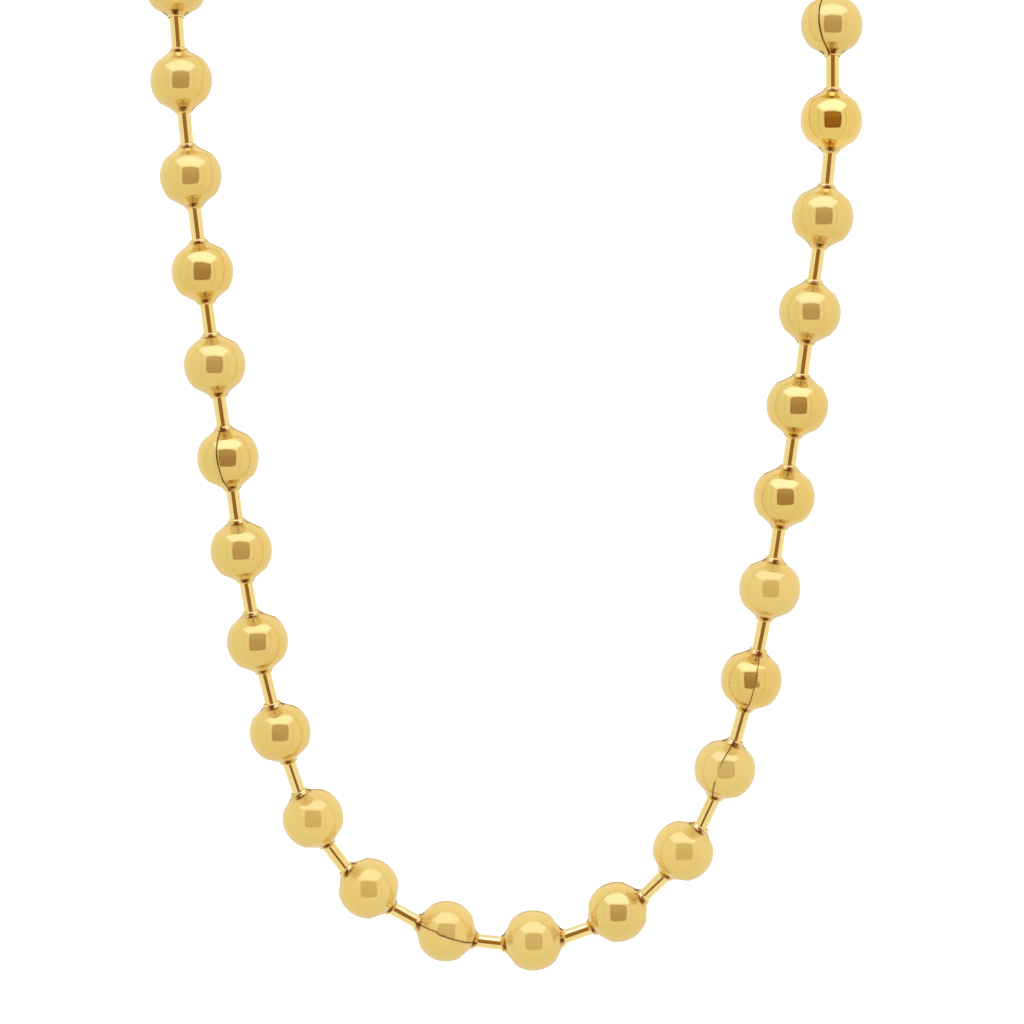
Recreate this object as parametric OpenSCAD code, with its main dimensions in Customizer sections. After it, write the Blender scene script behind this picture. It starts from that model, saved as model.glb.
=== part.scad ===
// Ball chain necklace, in the shape that it has when it is worn.
// Millimetres. The origin is the point at the nape that carries the chain.
// +X is to the right as seen from the front, -Y is to the front, +Z is up.

/* [Beads] */
// Number of beads in the loop
bead_count = 36; // [32:2:40]
// Outside diameter of a bead
bead_d = 10; // [8:0.5:12]
// Thickness of the sheet that a bead is formed from
bead_wall = 0.4; // [0.3:0.05:0.5]
// Angle from a bead's axis at which its round side turns into a cone
cone_angle = 48; // [42:1:54]
// Wall of a collar where it leaves the cone
collar_base = 0.3; // [0.25:0.05:0.5]
// Wall of a collar at its mouth
collar_lip = 0.15; // [0.1:0.05:0.25]
// How far a collar stands out past the bead's diameter
collar_out = 0.3; // [0.2:0.05:0.5]
// Width of the open seam along one side of a bead
seam_w = 0.14; // [0.1:0.02:0.2]

/* [Link bars] */
// Diameter of a link bar
bar_d = 2.2; // [1.8:0.1:2.4]
// Bar that shows between two beads where the chain hangs taut
bar_show = 5.6; // [5:0.1:7]
// How much less of the bar shows where the chain is slackest
bar_slack = 0.9; // [0:0.1:1.2]
// Gap round a bar in a bead's hole
bar_play = 0.25; // [0.25:0.05:0.35]
// How far a bar's round head reaches past the hole's edge
head_grip = 0.35; // [0.2:0.05:0.4]
// Gap between a head and the edge of its hole in a straight, taut chain
head_play = 0.4; // [0.4:0.05:0.5]

/* [Connector] */
// Gap between the two end beads inside the connector
end_bead_gap = 1.5; // [1:0.1:3]
// Gap round a bead in the connector
sleeve_play = 0.2; // [0.2:0.05:0.4]
// Wall of the connector
sleeve_wall = 0.5; // [0.4:0.05:0.8]
// Chamfer round the connector's ends
sleeve_chamfer = 0.6; // [0.4:0.1:0.8]
// Gap round a bar in the connector's slots
slot_play = 0.6; // [0.5:0.05:0.8]
// Turn of the connector's window from the front towards its top
window_turn = 60; // [0:15:180]
// How far left of the nape the connector's middle lies, along the chain
connector_shift = -3.5; // [-4.5:0.5:-3]

/* [Hidden] */
$fn = 96;
gold = [0.93, 0.8, 0.42];

// The route that the chain hangs along, down the left side, round the
// bottom and up the right side.
route = [
    [0, 0, 0], [-13, -1, -0.5], [-26, -6, -2.5], [-37.5, -15, -6.5], // nape
    [-47, -28, -12], [-52.5, -42.5, -20.5], // left side of the neck
    [-54, -54.5, -33.5], [-53, -60, -48.5], [-49.5, -69, -78.5], // left drop
    [-45.5, -75.5, -107.5], [-41, -79.5, -137.5], [-37.5, -80.5, -152.5],
    [-32.5, -81, -167.5],
    [-23, -81, -180.5], [-10, -81, -188], [5, -81, -189.5], // bottom
    [19, -81, -184], [29.5, -81, -173], [36, -80.5, -158.5],
    [40, -79.5, -143.5], [45, -76, -113.5], [49, -70.5, -84], // right drop
    [52.5, -62, -54.5], [52.5, -57, -39.5],
    [52, -45.5, -26], [49, -30.5, -16], // right side of the neck
    [42.5, -16, -8.5], [32, -6, -3], [20.5, -1, -0.5], [10, 0, 0] // nape
];
// Number of short straight steps that each stretch of the route is drawn in
route_steps = 12;
// How slack the chain hangs from link to link: [number of the link, share of
// the greatest slack], with an even change from row to row
slack_seen = [
    [9, 0.1], [10, 0.5], [13, 0.4], [14, 0], [15, 0], [18, 1], [21, 0], [22, 0], [25, 0.7],
    [27, 0.1], [28, 0]
];
// The beads whose seam shows from the front: [number of the bead, turn of
// its seam from the front]. A turn above 0 goes outwards from the loop.
seam_seen = [[12, 15], [18, -12], [22, -18], [23, 2], [30, -27]];
// The other seams lie at the back, each turned on from the last
seam_back = 130;
seam_step = 37;
seam_spread = 100;

bead_r = bead_d / 2;
hollow_r = bead_r - bead_wall;
bar_r = bar_d / 2;
hole_r = bar_r + bar_play;
head_r = hole_r + head_grip;
mouth_z = bead_r + collar_out;
// Where the hole starts inside the bead, and the middle of its length,
// on which the bar pivots
hole_z = sqrt(pow(hollow_r, 2) - pow(hole_r, 2));
pivot_z = (hole_z + mouth_z) / 2;
// A bead's cone runs straight from its round side to the foot of its collar.
// Its line is carried on outwards, past the bead.
lip_r = hole_r + collar_lip;
foot_r = hole_r + collar_base;
foot_z = sqrt(pow(bead_r, 2) - pow(foot_r, 2));
cone_r = bead_r * sin(cone_angle);
cone_z = bead_r * cos(cone_angle);
wide_r = bead_r + bead_wall;
wide_z = foot_z + (wide_r - foot_r) * (cone_z - foot_z) / (cone_r - foot_r);
// Where a head's middle lies in a bead when the chain is taut
head_z = hole_z - sqrt(pow(head_r + head_play, 2) - pow(hole_r, 2));
bar_length = bar_show + bead_d - 2 * head_z;

// The end beads lie on the connector's axis, this far from its middle
end_reach = (bead_d + end_bead_gap) / 2;
sleeve_r = bead_r + sleeve_play;
sleeve_outer_r = sleeve_r + sleeve_wall;
sleeve_inner_z = end_reach + mouth_z + sleeve_play;
sleeve_outer_z = sleeve_inner_z + sleeve_wall;
slot_r = bar_r + slot_play;
// The window lets a bead in, and is narrower than the connector's bore. It
// starts this far from the axis, so that the walls beside it hold the bead.
window_r = bead_r + sleeve_play / 2;
window_sill = sleeve_r / 4;
// How far a cutter runs past what it cuts
past = 1;

// Bar that shows in link i, between bead i and bead i + 1
function bar_shown(i) = bar_show - bar_slack * lookup(i, slack_seen);
function pitch(i) = bead_d + bar_shown(i);

// How far round the loop each bead's middle lies, from the nape
stations = [
    for (i = 1, s = connector_shift + end_reach; i <= bead_count; s = s + pitch(i), i = i + 1) s
];
loop_length = stations[bead_count - 1] - stations[0] + 2 * end_reach;

// The route as a smooth closed curve through its points
function stop(k) = route[(k + len(route)) % len(route)];
function gap(k) = norm(stop(k + 1) - stop(k));
function slope(k) = let (before = gap(k - 1), after = gap(k))
    ((stop(k + 1) - stop(k)) * before / after + (stop(k) - stop(k - 1)) * after / before)
    / (before + after);
function on_route(k, t) = let (l = gap(k))
    stop(k) * (2 * pow(t, 3) - 3 * pow(t, 2) + 1)
    + slope(k) * l * (pow(t, 3) - 2 * pow(t, 2) + t)
    + stop(k + 1) * (3 * pow(t, 2) - 2 * pow(t, 3))
    + slope(k + 1) * l * (pow(t, 3) - pow(t, 2));
trace = concat(
    [for (k = [0:len(route) - 1], j = [0:route_steps - 1]) on_route(k, j / route_steps)],
    [route[0]]
);
last = len(trace) - 1;
function stride(k) = k < last ? norm(trace[k + 1] - trace[k]) : 0;
run = [for (k = 0, s = 0; k <= last; s = s + stride(k), k = k + 1) s];
x_run = [for (k = [0:last]) [run[k], trace[k].x]];
y_run = [for (k = [0:last]) [run[k], trace[k].y]];
z_run = [for (k = [0:last]) [run[k], trace[k].z]];
// The route grows or shrinks about the nape until it is as long as the chain
route_fit = loop_length / run[last];

// The point at the distance s round the loop from the nape
function along(s) =
    let (u = (s < 0 ? s + loop_length : s > loop_length ? s - loop_length : s) / route_fit)
    route_fit * [lookup(u, x_run), lookup(u, y_run), lookup(u, z_run)];
function unit(v) = v / norm(v);

// A frame is [middle, direction in which the chain is followed]
function frame_between(a, b) = [(a + b) / 2, unit(b - a)];
connector_frame = frame_between(
    along(connector_shift - end_reach), along(connector_shift + end_reach)
);
function bead_frame(i) =
    i == 1 ? [connector_frame[0] + connector_frame[1] * end_reach, connector_frame[1]]
    : i == bead_count ? [connector_frame[0] - connector_frame[1] * end_reach, connector_frame[1]]
    : frame_between(along(stations[i - 1] - pivot_z), along(stations[i - 1] + pivot_z));
function pole(i, side) = bead_frame(i)[0] + side * bead_frame(i)[1] * pivot_z;
function link_frame(i) = frame_between(pole(i, 1), pole(i + 1, -1));

function seam_turn(i) = let (seen = [for (row = seam_seen) if (row[0] == i) row[1]])
    len(seen) > 0 ? seen[0] : seam_back + (i * seam_step) % seam_spread;
function bead_name(i) = str("bead_", i < 10 ? "0" : "", i);

// Places what is drawn along +Z on a frame, with its +Y turned to the front
module on_frame(frame) {
    axis = frame[1];
    front = unit([0, -1, 0] + axis * axis.y);
    side = cross(front, axis);
    multmatrix([
        [side.x, front.x, axis.x, frame[0].x],
        [side.y, front.y, axis.y, frame[0].y],
        [side.z, front.z, axis.z, frame[0].z],
        [0, 0, 0, 1]
    ]) children();
}

// Half the section of a bead: a round side, a cone and a collar at each end
module bead_section() {
    difference() {
        polygon([
            [hole_r, -mouth_z], [lip_r, -mouth_z], [foot_r, -foot_z], [wide_r, -wide_z],
            [wide_r, wide_z], [foot_r, foot_z], [lip_r, mouth_z], [hole_r, mouth_z]
        ]);
        circle(r = hollow_r);
        // what stands out past the round side
        difference() {
            translate([(foot_r + cone_r) / 2, -bead_d]) square([bead_d, 2 * bead_d]);
            circle(r = bead_r);
        }
    }
}

// One hollow bead, with a hole for a bar at each end and its seam open
module bead(i) {
    color(gold)
    on_frame(bead_frame(i))
    rotate([0, 0, seam_turn(i)])
    difference() {
        rotate_extrude() bead_section();
        // the seam, from the side that faces +Y
        translate([-seam_w / 2, 0, -bead_d]) cube([seam_w, bead_d, 2 * bead_d]);
    }
}

// One bar with a round head at each end, which the beads' holes hold back
module link_bar(i) {
    color(gold)
    on_frame(link_frame(i))
    rotate_extrude()
    intersection() {
        union() {
            translate([0, -bar_length / 2]) square([bar_r, bar_length]);
            for (end = [-1, 1])
                translate([0, end * bar_length / 2]) circle(r = head_r);
        }
        translate([0, -bar_length]) square([bar_length, 2 * bar_length]);
    }
}

module link_bars() {
    for (i = [1:bead_count - 1]) link_bar(i);
}

// The sleeve that holds the two end beads. A bead goes in at the window and
// slides to its end, where its bar lies in the slot.
module connector() {
    color(gold)
    on_frame(connector_frame)
    rotate([0, 0, window_turn])
    difference() {
        rotate_extrude() sleeve_section();
        // the window, from the side that faces +Y
        translate([0, window_sill, 0]) rotate([-90, 0, 0])
            cylinder(r = window_r, h = sleeve_outer_r);
        // the slot along the same side, and the round hole in each end
        translate([-slot_r, 0, -sleeve_outer_z - past])
            cube([2 * slot_r, sleeve_outer_r + past, 2 * (sleeve_outer_z + past)]);
        cylinder(r = slot_r, h = 2 * (sleeve_outer_z + past), center = true);
    }
}

// Half the section of the sleeve, with chamfered ends
module sleeve_section() {
    difference() {
        polygon([
            [0, -sleeve_outer_z], [sleeve_outer_r - sleeve_chamfer, -sleeve_outer_z],
            [sleeve_outer_r, -sleeve_outer_z + sleeve_chamfer],
            [sleeve_outer_r, sleeve_outer_z - sleeve_chamfer],
            [sleeve_outer_r - sleeve_chamfer, sleeve_outer_z], [0, sleeve_outer_z]
        ]);
        translate([0, -sleeve_inner_z]) square([sleeve_r, 2 * sleeve_inner_z]);
    }
}

for (i = [1:bead_count]) bead(i);
link_bars();
connector();
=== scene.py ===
# Ball chain necklace in polished gold, hung as it is worn. Everything is in metres.
import math
import bpy
import numpy as np
from mathutils import Matrix, Vector


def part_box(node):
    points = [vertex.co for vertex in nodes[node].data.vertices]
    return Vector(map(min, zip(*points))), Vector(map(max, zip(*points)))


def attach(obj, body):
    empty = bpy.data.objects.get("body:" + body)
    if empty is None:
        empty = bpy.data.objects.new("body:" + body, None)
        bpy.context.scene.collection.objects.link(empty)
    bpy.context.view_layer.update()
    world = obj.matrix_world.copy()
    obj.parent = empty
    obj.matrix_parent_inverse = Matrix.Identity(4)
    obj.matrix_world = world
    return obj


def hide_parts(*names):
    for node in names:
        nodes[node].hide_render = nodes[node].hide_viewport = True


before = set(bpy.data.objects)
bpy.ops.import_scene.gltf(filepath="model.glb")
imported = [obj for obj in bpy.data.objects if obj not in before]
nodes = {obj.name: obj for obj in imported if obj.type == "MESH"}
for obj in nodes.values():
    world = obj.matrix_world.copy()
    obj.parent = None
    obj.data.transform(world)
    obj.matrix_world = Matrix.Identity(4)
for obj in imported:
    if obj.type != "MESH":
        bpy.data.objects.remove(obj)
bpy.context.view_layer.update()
scene = bpy.context.scene
mm = 0.001
print("frame loaded,", len(nodes), "nodes")

camera = {
    "elevation": 16,  # degrees that it looks down by
    "distance": 900 * mm,
    "target": (0.65 * mm, -73 * mm, -117 * mm),
    "pixel": 10 / 61.6 * mm,  # width that one pixel covers at the target
    "pixels": 1024,
    "sensor": 36,
    "clip": (0.01, 100),
}


def makeCamera(s):
    tilt = math.radians(s["elevation"])
    data = bpy.data.cameras.new("camera")
    data.sensor_width = s["sensor"]
    data.lens = s["distance"] / (s["pixel"] * s["pixels"]) * s["sensor"]
    data.clip_start, data.clip_end = s["clip"]
    obj = bpy.data.objects.new("camera", data)
    scene.collection.objects.link(obj)
    back = Vector((0, -math.cos(tilt), math.sin(tilt)))
    obj.location = Vector(s["target"]) + back * s["distance"]
    obj.rotation_euler = (math.pi / 2 - tilt, 0, 0)
    scene.camera = obj


makeCamera(camera)
scene.view_settings.view_transform = "Standard"
print("camera made")


# Shader building

def addNode(tree, kind, inputs=None, **settings):
    node = tree.nodes.new(kind)
    for name, value in settings.items():
        setattr(node, name, value)
    for socket, value in (inputs or {}).items():
        feed(tree, node.inputs[socket], value)
    return node


def feed(tree, socket, value):  # value is a number, a colour or another node's output
    if isinstance(value, bpy.types.NodeSocket):
        tree.links.new(value, socket)
    else:
        socket.default_value = value


def calc(tree, operation, *values):
    return addNode(tree, "ShaderNodeMath", dict(enumerate(values)), operation=operation).outputs[0]


def ramp(tree, value, low, high):  # 0 below low, 1 above high, smooth between
    node = addNode(tree, "ShaderNodeMapRange", {"Value": value, "From Min": low, "From Max": high},
                   interpolation_type="SMOOTHSTEP")
    return node.outputs["Result"]


def band(tree, value, low, high, soft):  # 1 between low and high, with soft edges
    rise = ramp(tree, value, low - soft, low + soft)
    fall = ramp(tree, value, high - soft, high + soft)
    return calc(tree, "MULTIPLY", rise, calc(tree, "SUBTRACT", 1, fall))


def blendColour(tree, mask, first, second):
    node = addNode(tree, "ShaderNodeMix", data_type="RGBA")
    feed(tree, node.inputs["Factor"], mask)
    feed(tree, node.inputs[6], first)
    feed(tree, node.inputs[7], second)
    return node.outputs[2]


# The light is a white tent round the necklace, with an opening towards the
# front and a softbox above the opening. Angles are in degrees from the front.
tent = {
    "wall": (0.93, 0.92, 0.88, 1),
    "wallLeft": (0.88, 0.90, 0.80, 1),
    "wallRight": (0.95, 0.91, 0.83, 1),
    "wallLow": (0.91, 0.88, 0.79, 1),
    "wallBack": (0.98, 0.95, 0.90, 1),
    "sideBlend": (0.1, 0.9),  # how far round to a side its colour starts and is full, 1 being straight there
    "lowBlend": (0.15, 0.85),
    "backBlend": (0.18, 0.3),
    "opening": (0.33, 0.16, 0.03, 1),
    "openingTop": (0.45, 0.27, 0.09, 1),
    "openingEdge": (0.16, 0.06, 0.01, 1),
    "openingSides": (-30, 35),
    "openingHalfHeight": 32,
    "openingEdgeWidth": 3.5,
    "openingSoft": 1.2,
    "backOpening": (0.58, 0.44, 0.24, 1),  # a smaller one at the back, level with the necklace
    "backOpeningHalf": 15,
    "backOpeningSoft": 1.5,
    "softbox": (1.45, 1.55, 2.3, 1),
    "softboxHeights": (37, 80),
    "softboxHalfWidth": 46,
    "softboxEdge": 5,
    "fill": (1.05, 1.05, 1.02, 1),  # soft light that brings out no reflections
    "fold": (0.62, 0.55, 0.42, 1),
    "foldSides": 53,  # where the tent's folds are
    "foldWidth": 1.1,
}


def lightTent(s):
    world = bpy.data.worlds.new("tent")
    scene.world = world
    world.use_nodes = True
    tree = world.node_tree
    tree.nodes.clear()
    tilt = math.radians(camera["elevation"])
    toFront = (0, -math.cos(tilt), math.sin(tilt))
    toTop = (0, math.sin(tilt), math.cos(tilt))
    direction = addNode(tree, "ShaderNodeTexCoord").outputs["Generated"]

    def along(axis):
        node = addNode(tree, "ShaderNodeVectorMath", {0: direction, 1: axis}, operation="DOT_PRODUCT")
        return node.outputs["Value"]

    def angle(a, b):
        return calc(tree, "DEGREES", calc(tree, "ARCTAN2", a, b))

    front, side, top = along(toFront), along((1, 0, 0)), along(toTop)
    turn = angle(side, front)
    rise = angle(top, front)

    near, far = s["sideBlend"]
    wall = blendColour(tree, ramp(tree, side, -far, -near), s["wallLeft"], s["wall"])
    wall = blendColour(tree, ramp(tree, side, near, far), wall, s["wallRight"])
    near, far = s["lowBlend"]
    wall = blendColour(tree, ramp(tree, top, -near, -far), wall, s["wallLow"])
    near, far = s["backBlend"]
    wall = blendColour(tree, ramp(tree, front, -near, -far), wall, s["wallBack"])

    middle, wide = s["foldSides"], s["foldWidth"]
    fold = band(tree, calc(tree, "ABSOLUTE", turn), middle - wide, middle + wide, wide)
    wall = blendColour(tree, fold, wall, s["fold"])

    half, soft = s["backOpeningHalf"], s["backOpeningSoft"]
    back, up = along((0, 1, 0)), along((0, 0, 1))
    behind = calc(tree, "MULTIPLY", band(tree, angle(side, back), -half, half, soft),
                  band(tree, angle(up, back), -half, half, soft))
    wall = blendColour(tree, behind, wall, s["backOpening"])

    left, right = s["openingSides"]
    high, edge, soft = s["openingHalfHeight"], s["openingEdgeWidth"], s["openingSoft"]
    hole = calc(tree, "MULTIPLY", band(tree, turn, left, right, soft), band(tree, rise, -high, high, soft))
    core = calc(tree, "MULTIPLY", band(tree, turn, left + edge, right - edge, edge),
                band(tree, rise, -high + edge, high - edge, edge))
    inside = blendColour(tree, ramp(tree, rise, 0, high), s["opening"], s["openingTop"])
    inside = blendColour(tree, core, s["openingEdge"], inside)
    wall = blendColour(tree, hole, wall, inside)

    low, high = s["softboxHeights"]
    reach = s["softboxHalfWidth"]
    lamp = calc(tree, "MULTIPLY", band(tree, rise, low, high, s["softboxEdge"]),
                band(tree, angle(side, top), -reach, reach, s["softboxEdge"]))
    light = blendColour(tree, lamp, wall, s["softbox"])

    ray = addNode(tree, "ShaderNodeLightPath")
    shader = addNode(tree, "ShaderNodeBackground", {"Color": light})
    for kind, colour in (("Is Diffuse Ray", s["fill"]), ("Is Camera Ray", (1, 1, 1, 1))):
        other = addNode(tree, "ShaderNodeBackground", {"Color": colour})
        shader = addNode(tree, "ShaderNodeMixShader",
                         {0: ray.outputs[kind], 1: shader.outputs[0], 2: other.outputs[0]})
    addNode(tree, "ShaderNodeOutputWorld", {"Surface": shader.outputs[0]})


lightTent(tent)

floor = {"height": -420 * mm, "halfSide": 8, "colour": (0.92, 0.92, 0.91, 1), "roughness": 0.9, "glow": 0.4}


def makeFloor(s):
    h = s["halfSide"]
    mesh = bpy.data.meshes.new("floor")
    mesh.from_pydata([(-h, -h, 0), (h, -h, 0), (h, h, 0), (-h, h, 0)], [], [(0, 1, 2, 3)])
    obj = bpy.data.objects.new("floor", mesh)
    obj.location.z = s["height"]
    scene.collection.objects.link(obj)
    paper = bpy.data.materials.new("palePaper")
    paper.use_nodes = True
    shader = paper.node_tree.nodes["Principled BSDF"]
    shader.inputs["Base Color"].default_value = s["colour"]
    shader.inputs["Roughness"].default_value = s["roughness"]
    shader.inputs["Emission Color"].default_value = (1, 1, 1, 1)
    shader.inputs["Emission Strength"].default_value = s["glow"]
    mesh.materials.append(paper)
    obj.visible_glossy = False  # the beads mirror the tent, which goes on below
    obj.visible_diffuse = False


makeFloor(floor)
print("tent and floor made")


# Effects that the gold finishes share. A pair of numbers gives the noise
# values at which a mark starts and is full.
effects = {
    "tintCloud": (0.35, 0.7),
    "smearScale": 260,
    "smear": (0.5, 0.75),
    "hairlineScales": ((900, 9000, 900), (9000, 1100, 1400), (1500, 1300, 8000)),  # drawn out three ways
    "hairline": (0.66, 0.8),
    "hairlineDulls": 0.08,
    "hairlineDepth": 0.004 * mm,
    # patches and dulling of the painted shade in the seams, shell insides and collar feet
    "shadeNoiseScale": 1800,
    "shadePatch": (0.3, 0.7),
    "shadeLeast": 0.45,
    "shadeDulls": 0.3,
}


def newGroup(name, inputs, outputs):
    group = bpy.data.node_groups.new(name, "ShaderNodeTree")
    for label, kind, value in inputs:
        socket = group.interface.new_socket(label, in_out="INPUT", socket_type=kind)
        if value is not None:
            socket.default_value = value
    for label, kind in outputs:
        group.interface.new_socket(label, in_out="OUTPUT", socket_type=kind)
    return group, addNode(group, "NodeGroupInput"), addNode(group, "NodeGroupOutput")


def noise(tree, place, scale, detail=2.0, roughness=0.5):
    node = addNode(tree, "ShaderNodeTexNoise",
                   {"Vector": place, "Scale": scale, "Detail": detail, "Roughness": roughness})
    return node.outputs["Fac"]


def platingTint(s):  # the plating is warmer in some places than in others
    number, colour = "NodeSocketFloat", "NodeSocketColor"
    group, given, result = newGroup(
        "platingTint",
        [("Place", "NodeSocketVector", None), ("Scale", number, 120), ("Gold", colour, (0.93, 0.72, 0.19, 1)),
         ("Warm", colour, (0.93, 0.66, 0.15, 1)), ("Amount", number, 0.5)],
        [("Colour", colour)])
    cloud = ramp(group, noise(group, given.outputs["Place"], given.outputs["Scale"]), *s["tintCloud"])
    mask = calc(group, "MULTIPLY", cloud, given.outputs["Amount"])
    mixed = blendColour(group, mask, given.outputs["Gold"], given.outputs["Warm"])
    feed(group, result.inputs["Colour"], mixed)
    return group


def handling(s):  # fine hairlines and dull smears of a worn polish
    number = "NodeSocketFloat"
    group, given, result = newGroup(
        "handling",
        [("Place", "NodeSocketVector", None), ("Polish", number, 0.06), ("Smears", number, 0.05),
         ("Hairlines", number, 0.5)],
        [("Roughness", number), ("Height", number)])
    place = given.outputs["Place"]
    smear = ramp(group, noise(group, place, s["smearScale"], 3), *s["smear"])
    lines = []
    for scales in s["hairlineScales"]:
        drawnOut = addNode(group, "ShaderNodeVectorMath", {0: place, 1: scales}, operation="MULTIPLY")
        lines.append(ramp(group, noise(group, drawnOut.outputs["Vector"], 1.0, 1), *s["hairline"]))
    scored = calc(group, "MAXIMUM", lines[0], calc(group, "MAXIMUM", lines[1], lines[2]))
    scored = calc(group, "MULTIPLY", scored, given.outputs["Hairlines"])
    dull = calc(group, "ADD", calc(group, "MULTIPLY", smear, given.outputs["Smears"]),
                calc(group, "MULTIPLY", scored, s["hairlineDulls"]))
    feed(group, result.inputs["Roughness"], calc(group, "ADD", given.outputs["Polish"], dull))
    feed(group, result.inputs["Height"], calc(group, "MULTIPLY", scored, -1))
    return group


def paintedShade(s):  # painted shade: darker gold in the seams, inside the shells and at the feet of the collars, in patches, and a little duller there
    number, colour = "NodeSocketFloat", "NodeSocketColor"
    group, given, result = newGroup(
        "paintedShade",
        [("Place", "NodeSocketVector", None), ("ShadeMask", number, 0), ("Clean", colour, (0.9, 0.7, 0.2, 1)),
         ("Dark", colour, (0.36, 0.13, 0.02, 1)), ("Roughness", number, 0.08), ("Amount", number, 0.8)],
        [("Colour", colour), ("Roughness", number)])
    patch = ramp(group, noise(group, given.outputs["Place"], s["shadeNoiseScale"], 3), *s["shadePatch"])
    least = s["shadeLeast"]
    patchy = calc(group, "ADD", least, calc(group, "MULTIPLY", patch, 1 - least))
    mask = calc(group, "MULTIPLY", given.outputs["ShadeMask"], patchy)
    mask = calc(group, "MULTIPLY", mask, given.outputs["Amount"])
    dull = calc(group, "MULTIPLY", mask, s["shadeDulls"])
    mixed = blendColour(group, mask, given.outputs["Clean"], given.outputs["Dark"])
    feed(group, result.inputs["Colour"], mixed)
    feed(group, result.inputs["Roughness"], calc(group, "ADD", given.outputs["Roughness"], dull))
    return group


shared = {"tint": platingTint(effects), "handling": handling(effects), "paintedShade": paintedShade(effects)}


def goldFinish(name, s):
    material = bpy.data.materials.new(name)
    material.use_nodes = True
    tree = material.node_tree
    tree.nodes.clear()
    if s["placeFrom"]:
        place = addNode(tree, "ShaderNodeAttribute", attribute_name=s["placeFrom"]).outputs["Vector"]
    else:
        place = addNode(tree, "ShaderNodeTexCoord").outputs["Object"]
    tint = addNode(tree, "ShaderNodeGroup", node_tree=shared["tint"])
    wear = addNode(tree, "ShaderNodeGroup", node_tree=shared["handling"])
    for node, values in ((tint, s["tint"]), (wear, s["wear"])):
        feed(tree, node.inputs["Place"], place)
        for socket, value in values.items():
            feed(tree, node.inputs[socket], value)
    colour, rough = tint.outputs["Colour"], wear.outputs["Roughness"]
    if s["shadeMaskFrom"]:
        shadeMask = addNode(tree, "ShaderNodeAttribute", attribute_name=s["shadeMaskFrom"]).outputs["Fac"]
        shadeNode = addNode(tree, "ShaderNodeGroup", node_tree=shared["paintedShade"])
        feeds = {"Place": place, "ShadeMask": shadeMask, "Clean": colour, "Roughness": rough, **s["paintedShade"]}
        for socket, value in feeds.items():
            feed(tree, shadeNode.inputs[socket], value)
        colour, rough = shadeNode.outputs["Colour"], shadeNode.outputs["Roughness"]
    bump = addNode(tree, "ShaderNodeBump", {
        "Strength": s["bump"], "Distance": effects["hairlineDepth"], "Height": wear.outputs["Height"]})
    shader = addNode(tree, "ShaderNodeBsdfPrincipled", {
        "Base Color": colour, "Roughness": rough, "Metallic": s["metal"], "Normal": bump.outputs["Normal"]})
    addNode(tree, "ShaderNodeOutputMaterial", {"Surface": shader.outputs[0]})
    return material


beadGold = {
    "placeFrom": "restPlace", "shadeMaskFrom": "shadeMask", "bump": 0.35,
    # colour and strength of the painted shade
    "paintedShade": {"Dark": (0.36, 0.13, 0.02, 1), "Amount": 0.9},
    "tint": {"Scale": 110, "Gold": (0.885, 0.655, 0.205, 1), "Warm": (0.9, 0.62, 0.175, 1), "Amount": 0.6},
    "wear": {"Polish": 0.1, "Smears": 0.05, "Hairlines": 0.5},
}
beadFinishes = {  # the polish is clearer on some beads than on others
    "mirror": goldFinish("mirrorPolish", {**beadGold, "metal": 1.0}),
    "clear": goldFinish("clearPolish", {**beadGold, "metal": 0.78}),
    "plain": goldFinish("plainPolish", {**beadGold, "metal": 0.6}),
    "soft": goldFinish("softPolish", {**beadGold, "metal": 0.36}),
}
# the collars' own gold, with a darker and stronger painted shade and painted reflection of the tent's dark
# opening at their feet
collarFinish = goldFinish("polishedCollar", {
    "placeFrom": "restPlace", "shadeMaskFrom": "shadeMask", "bump": 0.3, "metal": 1.0,
    "paintedShade": {"Dark": (0.24, 0.075, 0.008, 1), "Amount": 1.7},
    "tint": {"Scale": 400, "Gold": (0.95, 0.74, 0.3, 1), "Warm": (0.94, 0.66, 0.2, 1), "Amount": 0.6},
    "wear": {"Polish": 0.06, "Smears": 0.05, "Hairlines": 0.5},
})
# the bars' gold is lighter than the beads', painted light that stands in for the bright side walls that the
# bars reflect
barFinish = goldFinish("polishedBar", {
    "placeFrom": None, "shadeMaskFrom": None, "bump": 0.4, "metal": 1.0,
    "tint": {"Scale": 90, "Gold": (0.96, 0.78, 0.37, 1), "Warm": (0.95, 0.72, 0.29, 1), "Amount": 0.5},
    "wear": {"Polish": 0.05, "Smears": 0.05, "Hairlines": 0.7},
})
connectorFinish = goldFinish("polishedConnector", {
    "placeFrom": None, "shadeMaskFrom": None, "bump": 0.4, "metal": 0.7,
    "tint": {"Scale": 70, "Gold": (0.885, 0.655, 0.205, 1), "Warm": (0.9, 0.62, 0.175, 1), "Amount": 0.5},
    "wear": {"Polish": 0.09, "Smears": 0.08, "Hairlines": 1.0},
})
print("gold finishes made")


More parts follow.
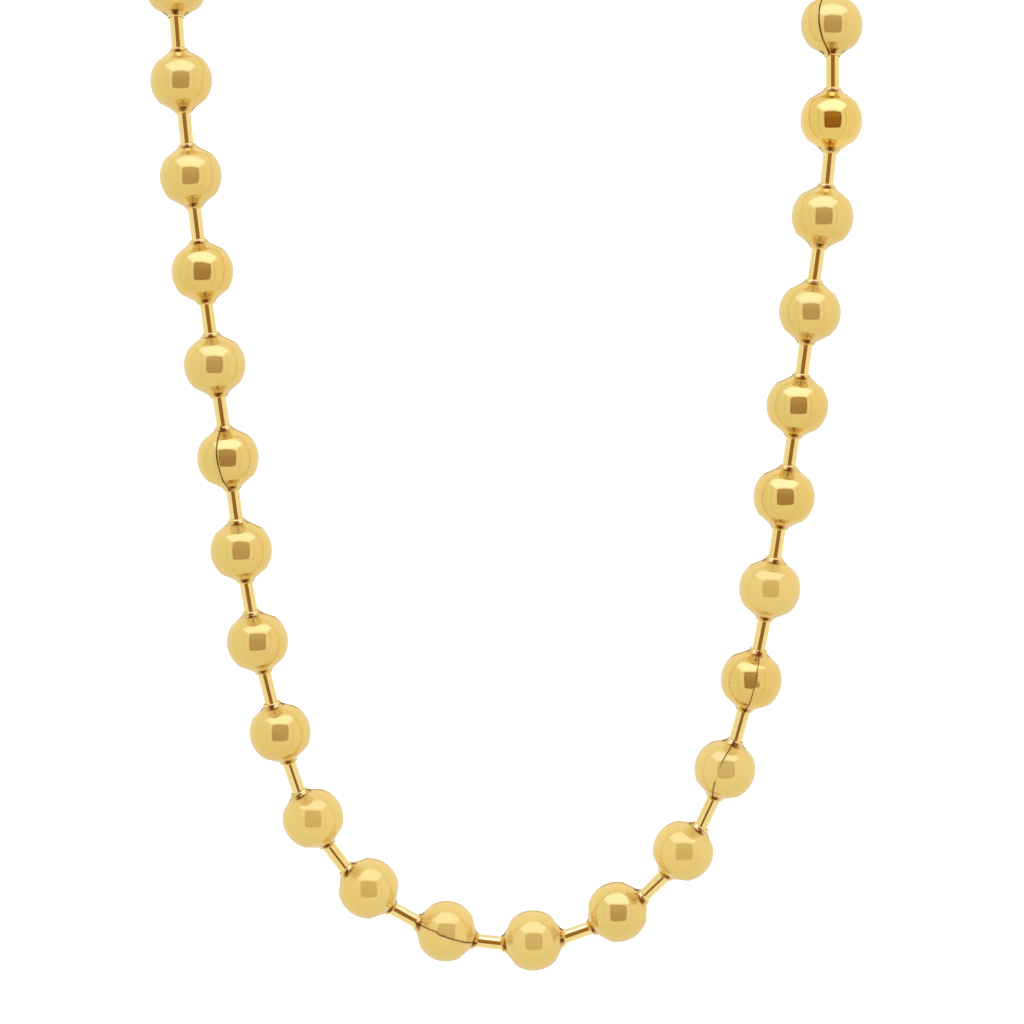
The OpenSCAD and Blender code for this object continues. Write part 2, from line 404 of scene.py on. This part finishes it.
# The beads are formed from sheet, so each is a thin shell with its seam open.
# Lengths in these settings are in millimetres along and across the bead.
bead = {
    "count": 36,
    "radius": 5.0,
    "innerRadius": 4.6,
    "coneAngle": 48,
    "roundRows": 15,
    "innerRows": 12,
    "collar": [(2.9, 3.86), (2.3, 4.27), (1.96, 4.47), (1.75, 4.61), (1.61, 4.74), (1.51, 4.88), (1.44, 5.02),
               (1.39, 5.14), (1.33, 5.24), (1.27, 5.3), (1.21, 5.33), (1.17, 5.3)],
    "bore": [(1.165, 5.25), (1.165, 5.08), (1.18, 4.92), (1.22, 4.76), (1.30, 4.60), (1.42, 4.44),
             (1.60, 4.312)],
    "columns": 60,
    "edgeColumns": [0, 0.0011, 0.0026, 0.005, 0.009, 0.015, 0.024, 0.038, 0.056],  # dense at the seam
    "poleFrom": 1.04,  # share of the radius past which the solid is collar, not ball
    "sharpAngle": 50,

    "waves": 6,  # shallow waves that the forming left in the sheet
    "waveDepth": 0.0055,
    "waveCounts": (4, 11),
    "puckers": (7, 12),  # round the foot of each collar
    "puckerLayers": 3,
    "puckerDepth": 0.028,
    "puckerRing": (1.95, 0.42),  # radius and breadth of the ring that they lie in
    "puckersAbove": 3,
    "lipWaves": 13,
    "lipDepth": 0.02,
    "lipHeights": (5.0, 5.35),
    "phases": (0, 6.3),

    "seamWidth": 0.15,
    "widthWave": (0.12, 1.3),  # how much and how fast a seam's width changes along it
    "lineWave": (0.03, 0.9),  # the same for its line
    "seamPhases": (0, 6),
    "closedWidth": 0.04,  # share of the width that is left where a seam closes up
    "closedCore": 0.3,
    "stepReach": 0.15,
    "edgeRound": 0.035,
    "edgeRoundReach": 0.06,
    "edgeRise": 0.02,
    "edgeRiseReach": 0.4,

    # painted shade along the open seam
    "seamShade": 0.9,
    "seamShadeReach": 0.12,
    "shadeLobes": 4,
    "footShade": 0.97,  # painted shade and painted reflection of the tent's dark opening at the foot of a collar, strongest in lobes turned to the front, the sides and the back
    "betweenLobes": 0.15,
    "footHeights": (4.3, 4.5, 5.0, 5.2),  # where it starts, is full, starts to fade and ends
    "collarFrom": 4.3,  # the collars have a finish of their own from here
    "polish": {"mirror": (29,), "clear": (10, 12, 23, 25, 26), "soft": (16, 17, 18, 19, 21, 22, 24)},
}

# The seams that show from the front, as the turn from the front, the width,
# the rise of one edge, a step along it and where it closes up
seenSeams = {
    12: {"turn": 15, "width": 0.12},
    18: {"turn": -12, "width": 0.11, "rise": 0.07, "step": (-1.7, 0.25)},
    22: {"turn": -18, "width": 0.1, "closed": (0.2, 2.2)},
    23: {"turn": 2, "width": 0.05, "rise": 0.05},
    30: {"turn": -27, "width": 0.16},
}
hiddenSeams = {"start": 130, "step": 37, "spread": 100}


def beadProfile(s):
    turns = np.radians(np.linspace(90, s["coneAngle"], s["roundRows"]))
    half = [(s["radius"] * math.sin(a), s["radius"] * math.cos(a)) for a in turns]
    half += s["collar"]
    outer = [(r, z) for r, z in reversed(half)] + [(r, -z) for r, z in half[1:]]
    innerStart = math.degrees(math.asin(s["bore"][-1][0] / s["innerRadius"]))
    turns = np.radians(np.linspace(innerStart, 90, s["innerRows"])[1:])
    inside = s["bore"] + [(s["innerRadius"] * math.sin(a), s["innerRadius"] * math.cos(a)) for a in turns]
    inside = inside + [(r, -z) for r, z in reversed(inside[:-1])]
    line = np.array(inside)
    steps = np.concatenate([[0], np.cumsum(np.linalg.norm(np.diff(line, axis=0), axis=1))])
    even = np.linspace(0, steps[-1], len(outer))
    inner = np.stack([np.interp(even, steps, line[:, 0]), np.interp(even, steps, line[:, 1])], 1)
    return np.array(outer), inner


def beadPlaces():  # middle and direction of each bead, read from the frame's own solids
    middles, reach = {}, {}
    for i in range(1, bead["count"] + 1):
        name = "bead_%02d" % i
        low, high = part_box(name)
        middles[i] = np.array((low + high) / 2)
        points = np.array([v.co for v in nodes[name].data.vertices]) - middles[i]
        reach[i] = points[np.linalg.norm(points, axis=1) > bead["poleFrom"] * bead["radius"] * mm]
    places = {}
    for i, middle in middles.items():
        following = middles[i % bead["count"] + 1] - middles[(i - 2) % bead["count"] + 1]
        ahead = reach[i] @ following > 0
        axis = reach[i][ahead].mean(0) - reach[i][~ahead].mean(0)
        places[i] = (middle, axis / np.linalg.norm(axis))
    return places


def seamOf(i):
    if i in seenSeams:
        return seenSeams[i]
    turn = hiddenSeams["start"] + (i * hiddenSeams["step"]) % hiddenSeams["spread"]
    return {"turn": turn, "width": bead["seamWidth"]}


def beadMatrix(middle, axis, turn):
    axis = Vector(axis)
    front = (Vector((0, -1, 0)) + axis * axis.y).normalized()
    side = front.cross(axis)
    a = math.radians(turn)
    x = side * math.cos(a) + front * math.sin(a)
    y = front * math.cos(a) - side * math.sin(a)
    return Matrix(((x.x, y.x, axis.x, middle[0]), (x.y, y.y, axis.y, middle[1]),
                   (x.z, y.z, axis.z, middle[2]), (0, 0, 0, 1)))


def smooth(x, low, high):
    t = np.clip((x - low) / (high - low), 0, 1)
    return t * t * (3 - 2 * t)


def seamLine(seam, z, draw, s):  # width, shift to the side and openness of the seam at each height
    amount, pace = s["widthWave"]
    width = seam["width"] * (1 + amount * np.sin(pace * z + draw.uniform(*s["seamPhases"])))
    amount, pace = s["lineWave"]
    shift = amount * np.sin(pace * z + draw.uniform(*s["seamPhases"]))
    openness = np.ones_like(z)
    if "closed" in seam:
        place, reach = seam["closed"]
        least = s["closedWidth"]
        openness = least + (1 - least) * smooth(abs(z - place), s["closedCore"] * reach, reach)
    if "step" in seam:
        place, depth = seam["step"]
        shift = shift + depth * smooth(z, place - s["stepReach"], place + s["stepReach"])
    return width * openness, shift, openness


def formingMarks(r, z, angle, away, outside, draw, s):  # waves, puckers and uneven lips, as depths
    depth = np.zeros(angle.shape)
    for _ in range(s["waves"]):
        way = draw.normal(size=3)
        way *= draw.uniform(*s["waveCounts"]) / np.linalg.norm(way)
        depth += s["waveDepth"] * np.sin(away @ way + draw.uniform(*s["phases"]))
    ring, breadth = s["puckerRing"]
    for end in (-1, 1):
        near = np.exp(-((r - ring) / breadth) ** 2) * (z * end > s["puckersAbove"])
        for _ in range(s["puckerLayers"]):
            number = draw.integers(*s["puckers"])
            pucker = near * np.sin(number * angle + draw.uniform(*s["phases"]))
            depth += s["puckerDepth"] / s["puckerLayers"] * pucker
        lip = smooth(z * end, *s["lipHeights"]) * outside
        depth += s["lipDepth"] * lip * np.sin(s["lipWaves"] * angle + draw.uniform(*s["phases"]))
    return depth


def formSheet(i, seam, s):  # points and painted shade from one edge of the seam round to the other
    draw = np.random.default_rng(400 + i)
    outer, inner = beadProfile(s)
    ring = np.concatenate([outer, inner[::-1]])  # down the outside and up the inside
    r, z = ring[:, 0][None, :], ring[:, 1][None, :]
    outside = (np.arange(len(ring)) < len(outer))[None, :]
    edge = np.array(s["edgeColumns"])
    plain = np.linspace(edge[-1], 1 - edge[-1], s["columns"])[1:-1]
    share = np.concatenate([edge, plain, 1 - edge[::-1]])[:, None]

    width, shift, openness = seamLine(seam, z, draw, s)
    gap = np.arcsin(np.clip(width / 2 / r, 0, 0.5))
    angle = math.pi / 2 + shift / r + gap + (2 * math.pi - 2 * gap) * share
    fromEdge = np.minimum(share, 1 - share) * 2 * math.pi * r
    spread = np.stack([r * np.cos(angle), r * np.sin(angle), z + 0 * angle], -1)
    away = spread / np.linalg.norm(spread, axis=-1, keepdims=True)

    depth = formingMarks(r, z, angle, away, outside, draw, s)
    rise = s["edgeRise"] + seam.get("rise", 0) * (share < 0.5)  # only the first edge stands up more
    depth += outside * openness * rise * np.exp(-(fromEdge / s["edgeRiseReach"]) ** 2)
    depth -= outside * openness * s["edgeRound"] * np.exp(-(fromEdge / s["edgeRoundReach"]) ** 2)

    # painted shade: at the feet of the collars in lobes turned to the front, the sides and the back, and
    # along the open seam; the whole inside of the shell is shaded in full
    start, full, fading, end = s["footHeights"]
    foot = smooth(abs(z), start, full) * (1 - smooth(abs(z), fading, end))
    fromFront = angle - math.pi / 2 + math.radians(seam["turn"])
    inLobe = (0.5 + 0.5 * np.cos(s["shadeLobes"] * fromFront)) ** 2
    foot = foot * (s["betweenLobes"] + (s["footShade"] - s["betweenLobes"]) * inLobe)
    atSeam = s["seamShade"] * openness * np.exp(-(fromEdge / s["seamShadeReach"]) ** 2)
    shadeMask = np.where(outside, np.maximum(atSeam, foot), 1.0)
    return spread + away * depth[..., None], shadeMask, ring[:, 1]


def sheetFaces(columns, size):  # walls between the columns, and a cap at each edge of the seam
    index = np.arange(columns * size).reshape(columns, size)
    a, b = index[:-1], index[1:]
    walls = np.stack([a, np.roll(a, -1, 1), np.roll(b, -1, 1), b], -1).reshape(-1, 4)
    k = np.arange(size // 2 - 1)
    first, last = index[0], index[-1]
    startCap = np.stack([first[k], first[size - 1 - k], first[size - 2 - k], first[k + 1]], 1)
    endCap = np.stack([last[k], last[k + 1], last[size - 2 - k], last[size - 1 - k]], 1)
    return np.concatenate([walls, startCap, endCap])


def finishSlots(heights, columns, s):  # 1 for the faces of the collars, 0 for the rest
    lower = np.minimum(np.abs(heights), np.roll(np.abs(heights), -1))
    onCollar = np.where(lower >= s["collarFrom"], 1, 0)
    caps = np.zeros(len(heights) - 2, int)
    return np.concatenate([np.tile(onCollar, columns - 1), caps])


def makeBead(i, middle, axis, s):
    seam = seamOf(i)
    points, shadeMask, heights = formSheet(i, seam, s)
    columns, size = shadeMask.shape
    points = points.reshape(-1, 3) * mm
    mesh = bpy.data.meshes.new("bead%02d" % i)
    mesh.from_pydata(points.tolist(), [], sheetFaces(columns, size).tolist())
    mesh.polygons.foreach_set("use_smooth", [True] * len(mesh.polygons))
    mesh.set_sharp_from_angle(angle=math.radians(s["sharpAngle"]))

    matrix = beadMatrix(middle, axis, seam["turn"])
    place = points @ np.array(matrix.to_3x3()).T + middle
    mesh.attributes.new("restPlace", "FLOAT_VECTOR", "POINT").data.foreach_set("vector", place.ravel())
    mesh.attributes.new("shadeMask", "FLOAT", "POINT").data.foreach_set("value", shadeMask.ravel())
    polish = next((name for name, numbers in s["polish"].items() if i in numbers), "plain")
    mesh.materials.append(beadFinishes[polish])
    mesh.materials.append(collarFinish)
    mesh.polygons.foreach_set("material_index", finishSlots(heights, columns, s))

    obj = bpy.data.objects.new("bead%02d" % i, mesh)
    scene.collection.objects.link(obj)
    obj.matrix_world = matrix
    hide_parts("bead_%02d" % i)
    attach(obj, "root")
    return obj


beads = [makeBead(i, middle, axis, bead) for i, (middle, axis) in beadPlaces().items()]
print("beads made,", len(beads[0].data.polygons), "faces each")

nodes["link_bars"].data.materials[0] = barFinish

connector = {"edgeRound": 0.12 * mm, "roundSegments": 2, "sharpAngle": 40}


def finishConnector(s):
    sleeve = nodes["connector"]
    sleeve.data.materials[0] = connectorFinish
    rounding = sleeve.modifiers.new("edgeRound", "BEVEL")
    rounding.width = s["edgeRound"]
    rounding.segments = s["roundSegments"]
    rounding.limit_method = "ANGLE"
    rounding.angle_limit = math.radians(s["sharpAngle"])


finishConnector(connector)
print("bars and connector finished")
